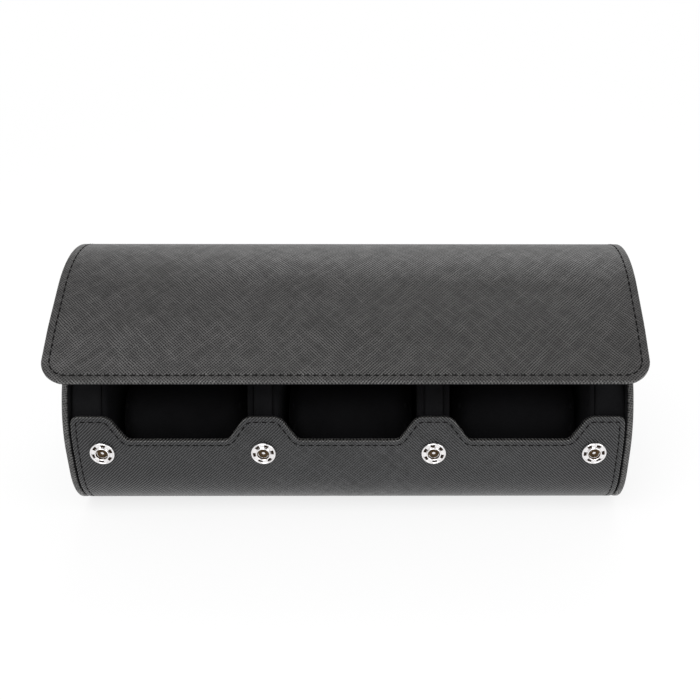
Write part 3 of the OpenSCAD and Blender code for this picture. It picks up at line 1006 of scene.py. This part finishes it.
# sinks windows into the channel between the rim and the collar; their dark brown finish is painted shade
# over the brass seen through each opening
def addWindows(piece, look):
    turn = 360 / look["windows"]

    def inWindow(face):
        spot = middle(face) / mm
        angle = math.degrees(math.atan2(spot.y, spot.x)) % turn
        between = look["windowFrom"] < math.hypot(spot.x, spot.y) < look["windowTo"]
        onChannel = between and abs(spot.z - look["channel"]) < 0.01
        return onChannel and min(angle, turn - angle) < look["windowTurn"]

    pick(piece, "FACE", inWindow)
    bpy.ops.mesh.inset(thickness=look["windowRim"] * mm, depth=0)
    bpy.ops.mesh.inset(thickness=look["windowEdge"] * mm, depth=-look["windowDepth"] * mm)
    shape = bmesh.from_edit_mesh(piece.data)
    for face in shape.faces:
        face.material_index = 1 if face.select else 0
    bmesh.update_edit_mesh(piece.data)
    leaveEdit()
    piece.data.materials.append(chromeFinish)
    piece.data.materials.append(windowShade)


def placedCopies(model, name, places):
    smooth(model, 50)
    copies = []
    for place in places:
        twin = copied(model, name)
        twin.data.transform(place)
        copies.append(twin)
    bpy.data.objects.remove(model)
    return joined(copies, name)


random.seed(7)
socketPlace = Vector((0, *roundAbout(snapTurn, domeRadius, 0)))
wallTurn = Matrix.Rotation(math.radians(90 - snapTurn), 4, "X")
socketModel = turnedPiece("socketModel", socketLook)
addWindows(socketModel, socketLook)
sockets = placedCopies(socketModel, "snapSockets", [
    Matrix.Translation((socketPlace + Vector((x, 0, 0))) * mm) @ wallTurn
    @ Matrix.Rotation(random.uniform(0, 1), 4, "Z") for x in caseForm["snapX"]])
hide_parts("snap_sockets")
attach(sockets, "case")

studTurn = Matrix.Rotation(math.pi, 4, "Y") @ Matrix.Scale(1 / mm, 4)
studs = placedCopies(turnedPiece("studModel", studLook), "snapStuds", [
    Matrix.Scale(mm, 4) @ stripFrame @ Matrix.Translation((x, -kneeToSnap, 0)) @ studTurn
    for x in caseForm["snapX"]])
dressed(studs, chromeFinish, ["snap_studs"], "flap_front")
print("press studs made")

# watch cushions: a stuffed bolster with sewn and piped side panels
cushionLook = {
    "length": 0.84, "start": 0.9, "round": 15.0, "endRound": 3.5, "voxel": 2.6,
    "pressure": 4.0, "frames": 20, "quality": 6, "give": 4.5, "fit": 0.985, "fill": 0.7,
    "panelAt": 0.86, "seamReach": 2.2, "seamPull": 0.5, "seat": 0.35, "piping": 0.55,
}


def stuffed(piece):
    cloth = piece.modifiers.new("stuffing", "CLOTH")
    cloth.settings.use_pressure = True
    cloth.settings.uniform_pressure_force = cushionLook["pressure"]
    cloth.settings.effector_weights.gravity = 0
    cloth.settings.quality = cushionLook["quality"]
    cloth.point_cache.frame_start = 1
    cloth.point_cache.frame_end = cushionLook["frames"]
    for step in range(1, cushionLook["frames"] + 1):
        bpy.context.scene.frame_set(step)
    only(piece)
    bpy.ops.object.modifier_apply(modifier=cloth.name)
    bpy.context.scene.frame_set(1)


def cushionPiping(piece, x, bottom):
    loop = copied(piece, piece.name + "Piping")
    editAll(loop)
    bpy.ops.mesh.bisect(plane_co=(x, 0, 0), plane_no=(1, 0, 0))
    pick(loop, "VERT", lambda v: abs(v.co.x - x) > 0.001 * mm)
    bpy.ops.mesh.delete(type="VERT")
    leaveEdit()
    bpy.ops.object.convert(target="CURVE")
    bpy.context.object.data.bevel_depth = cushionLook["piping"] * mm
    bpy.context.object.data.bevel_resolution = 2
    bpy.ops.object.convert(target="MESH")
    for vertex in bpy.context.object.data.vertices:
        vertex.co.z = max(vertex.co.z, bottom)
    return bpy.context.object


def makeCushion(name):
    look = cushionLook
    low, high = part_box("cushion_middle")
    centre, size = (low + high) / 2, high - low
    bottom = centre.z - size.z / 2
    panels = [centre.x + side * size.x / 2 * look["panelAt"] for side, word in ends]
    piece = block(name, (size.x * look["length"], size.y * look["start"], size.z * look["start"]), centre)
    roundEdges(piece, lambda e: runs(e, 0, size.x * look["length"]), look["round"] * mm, segments=8)
    half = size.x * look["length"] / 2
    roundEdges(piece, lambda e: all(abs(abs(v.co.x - centre.x) - half) < 0.1 * mm for v in e.verts),
               look["endRound"] * mm, segments=3)
    applied(piece, "REMESH", mode="VOXEL", voxel_size=look["voxel"] * mm, adaptivity=0)
    rest = [v.co.copy() for v in piece.data.vertices]
    stuffed(piece)
    give = look["give"] * mm
    for vertex, start in zip(piece.data.vertices, rest):  # the fabric gives only so far
        move = vertex.co - start
        if move.length > give:
            vertex.co = start + move * (give / move.length)
    applied(piece, "SMOOTH", factor=0.5, iterations=4)
    found = [Vector([f(v.co[i] for v in piece.data.vertices) for i in range(3)]) for f in (min, max)]
    room = [size[i] * look["fit"] / (found[1][i] - found[0][i]) for i in range(3)]
    mid = (found[0] + found[1]) / 2
    for vertex in piece.data.vertices:
        vertex.co = centre + Vector([(vertex.co[i] - mid[i]) * room[i] for i in range(3)])
        for x in panels:  # drawn in along the two sewn seams
            away = abs(vertex.co.x - x) / (look["seamReach"] * mm)
            if away < 1:
                out = Vector((0, vertex.co.y - centre.y, vertex.co.z - centre.z)).normalized()
                vertex.co -= out * look["seamPull"] * mm * (1 - away * away)
        vertex.co.z = max(vertex.co.z, bottom + look["seat"] * mm)
    pipes = [cushionPiping(piece, x, bottom) for x in panels]
    applied(piece, "SUBSURF", levels=1, render_levels=1)
    whole = joined([piece] + pipes, name)
    smooth(whole, 60)
    return whole


cushion = makeCushion("cushionModel")
for place, word in wells:
    twin = copied(cushion, "watchCushion_" + word)
    if place == 1:
        twin.data.transform(Matrix.Rotation(math.pi, 4, "Z"))
    twin.data.transform(Matrix.Translation((place * caseForm["wellPitch"] * mm, 0, 0)))
    dressed(twin, cushionVelvet, ["cushion_" + word], word + "_cushion")
bpy.data.objects.remove(cushion)
print("cushions made")

# the solids that stay as they are get their finishes
keptFinish = {
    "end_board_left": greyBoard, "end_board_right": greyBoard,
    "end_lining_left": liningCloth, "end_lining_right": liningCloth,
    "flap_top_board": greyBoard, "flap_front_board": greyBoard, "floor_pad": padFoam,
    "socket_springs": brassFinish, "socket_rivets": shadedCavityBrass, "stud_rivets": brassFinish,
}
for node, finish in keptFinish.items():
    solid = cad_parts[node]
    solid.data.materials.clear()
    solid.data.materials.append(finish)

# camera, floor and light
cameraLook = {"elevation": 29.46, "yaw": 0.45, "roll": 0.22, "distance": 393.14, "up": 10.56,
              "across": 16.29, "shift": -0.06, "aim": 40, "lens": 50, "sensor": 36, "near": 0.01, "far": 20}


def makeCamera():
    look = cameraLook
    tilt, yaw, roll = (math.radians(look[key]) for key in ("elevation", "yaw", "roll"))
    ahead = Vector((math.sin(yaw) * math.cos(tilt), math.cos(yaw) * math.cos(tilt), -math.sin(tilt)))
    right = Vector((math.cos(yaw), -math.sin(yaw), 0))
    above = right.cross(ahead)
    place = Vector((look["across"], 0, look["aim"])) - ahead * look["distance"] + above * look["up"]
    across = right * math.cos(roll) + above * math.sin(roll)
    upward = above * math.cos(roll) - right * math.sin(roll)
    turn = Matrix((across, upward, -ahead)).transposed().to_4x4()
    bpy.ops.object.camera_add()
    camera = bpy.context.object
    camera.matrix_world = Matrix.Translation(place * mm) @ turn
    camera.data.lens = look["lens"]
    camera.data.sensor_width = look["sensor"]
    camera.data.shift_x = look["shift"]
    camera.data.clip_start = look["near"]
    camera.data.clip_end = look["far"]
    bpy.context.scene.camera = camera


lightLook = {
    "world": 0.55, "shine": 0.85, "target": (0, 0, 0.04),
    "floorSize": 12, "floorColour": (0.86, 0.86, 0.86), "floorShow": 0.8, "fadeFrom": 0.2, "fadeTo": 0.7,
    "lamps": (("mainSoftbox", (-0.25, -0.55, 0.95), 0.9, 9.0),
              ("fillSoftbox", (0.75, -0.35, 0.55), 0.6, 2.5),
              ("backSoftbox", (0.1, 0.8, 0.8), 0.9, 4.0)),
}


# direct is 1 where the camera or clear stuff looks; value is other, or mirrored where a shiny thing looks
def seenWhite(tree, other, mirrored):
    rays = tree.nodes.new("ShaderNodeLightPath").outputs
    direct = mathNode(tree, "MAXIMUM", rays["Is Camera Ray"], rays["Is Transmission Ray"])
    value = scaled(tree, rays["Is Glossy Ray"], mirrored - other, other)
    return direct, value


def makeLights():
    world = bpy.data.worlds.new("whiteRoom")
    bpy.context.scene.world = world
    world.use_nodes = True
    tree = world.node_tree
    direct, value = seenWhite(tree, lightLook["world"], lightLook["shine"])
    feed(tree, tree.nodes["Background"], {
        "Color": (1, 1, 1), "Strength": mathNode(tree, "MAXIMUM", direct, value)})
    for name, place, size, power in lightLook["lamps"]:
        bpy.ops.object.light_add(type="AREA", location=place)
        lamp = bpy.context.object
        lamp.name = name
        lamp.data.shape = "SQUARE"
        lamp.data.size = size
        lamp.data.energy = power
        lamp.rotation_mode = "QUATERNION"
        lamp.rotation_quaternion = (Vector(lightLook["target"]) - Vector(place)).to_track_quat("-Z", "Y")


# a pale floor that keeps the object's shadow near it and fades to white further out
def makeFloor():
    look = lightLook
    deselectAll()
    bpy.ops.mesh.primitive_plane_add(size=look["floorSize"], location=(0, 0, 0))
    floor = fresh("paleFloor")
    material, tree, shader, place = newMaterial("paleFloor")
    feed(tree, shader, {"Base Color": look["floorColour"], "Roughness": 0.9, "Specular IOR Level": 0.1})
    glow = newNode(tree, "Emission", {"Strength": 1})
    spread = newNode(tree, "VectorMath", {0: place}, operation="LENGTH").outputs["Value"]
    start, reach = look["fadeFrom"], look["fadeTo"] - look["fadeFrom"]
    fade = scaled(tree, spread, 1 / reach, -start / reach, clamp=True)
    show = scaled(tree, fade, 1 - look["floorShow"], look["floorShow"])
    direct, value = seenWhite(tree, 0, 1)
    shown = scaled(tree, direct, show, value, clamp=True)
    blend = newNode(tree, "MixShader", {0: shown, 1: shader.outputs[0], 2: glow.outputs[0]})
    feed(tree, tree.nodes["Material Output"], {"Surface": blend.outputs[0]})
    floor.data.materials.append(material)


makeCamera()
makeLights()
makeFloor()
bpy.context.scene.view_settings.view_transform = "Standard"
print("camera, floor and light made")
